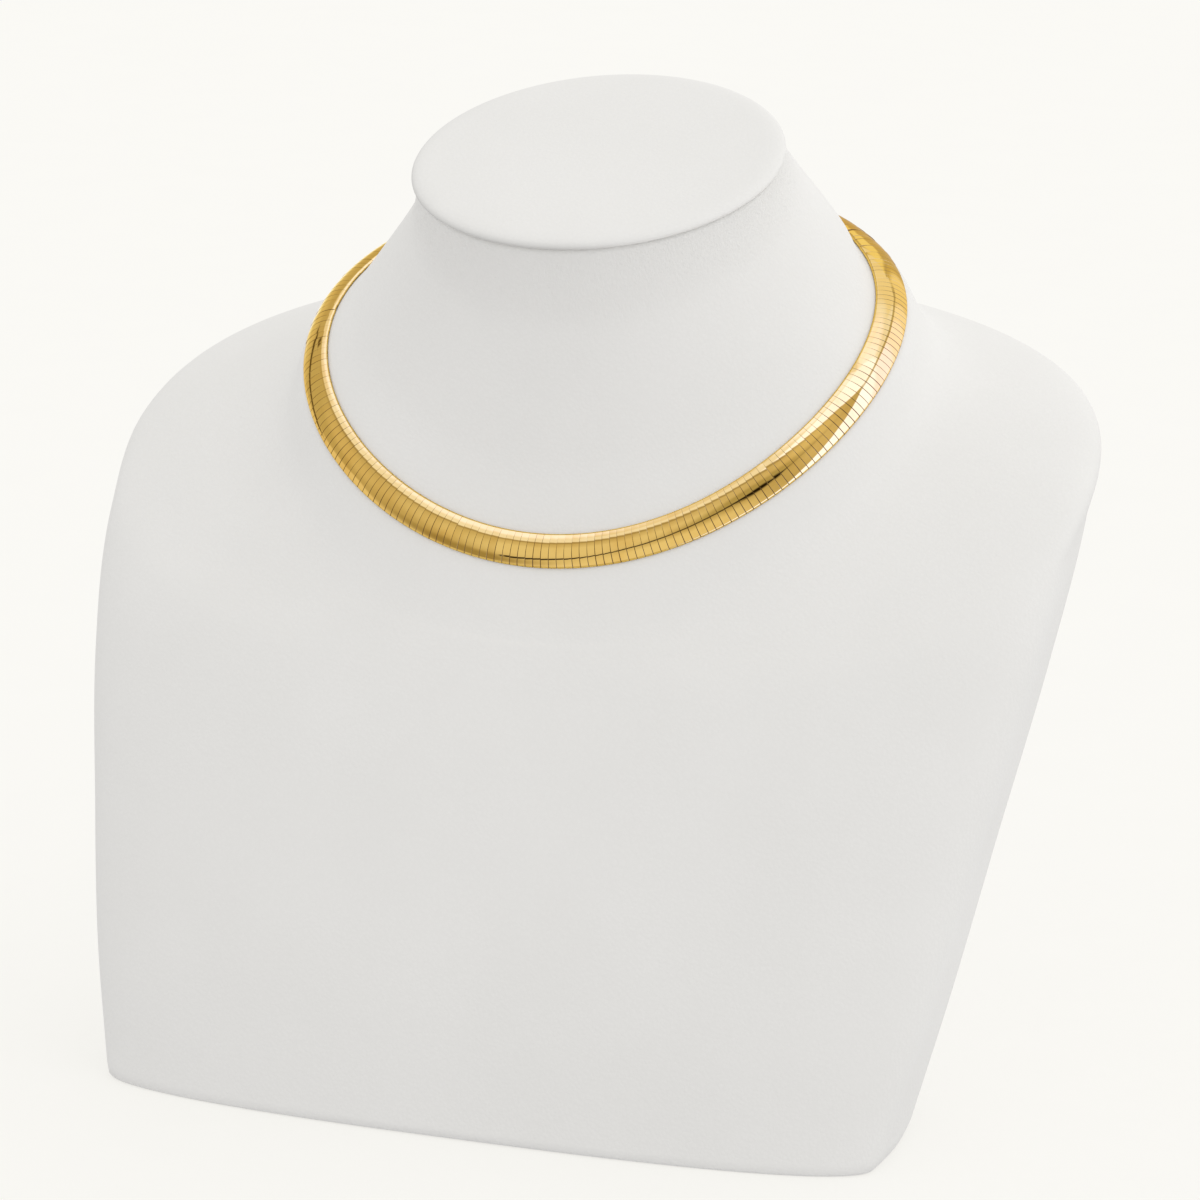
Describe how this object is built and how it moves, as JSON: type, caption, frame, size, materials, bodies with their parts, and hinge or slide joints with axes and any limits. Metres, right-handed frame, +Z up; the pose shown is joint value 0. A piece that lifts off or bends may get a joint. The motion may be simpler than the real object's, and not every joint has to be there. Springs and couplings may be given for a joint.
{
  "type": "omega necklace on a neck bust",
  "caption": "Polished domed omega collar necklace of narrow plates on a flat core, worn round a plain leatherette neck and shoulder bust that displays it",
  "frame": {"origin": "middle of the bust's flat base, on the surface it stands on", "axes": "+Z up, the bust faces -Y, +X is the bust's left shoulder, on the right of a viewer in front of it"},
  "size_m": [0.232, 0.1678, 0.2198],
  "materials": {
    "leatherette": "matt white leatherette with a fine grain",
    "gold": "polished yellow gold"
  },
  "bodies": {
    "root": {"bust_form": "leatherette", "neck_disc": "leatherette", "core_strip": "gold", "omega_plates": "gold", "end_cap_left": "gold", "end_cap_right": "gold", "clasp": "gold"}
  },
  "joints": []
}
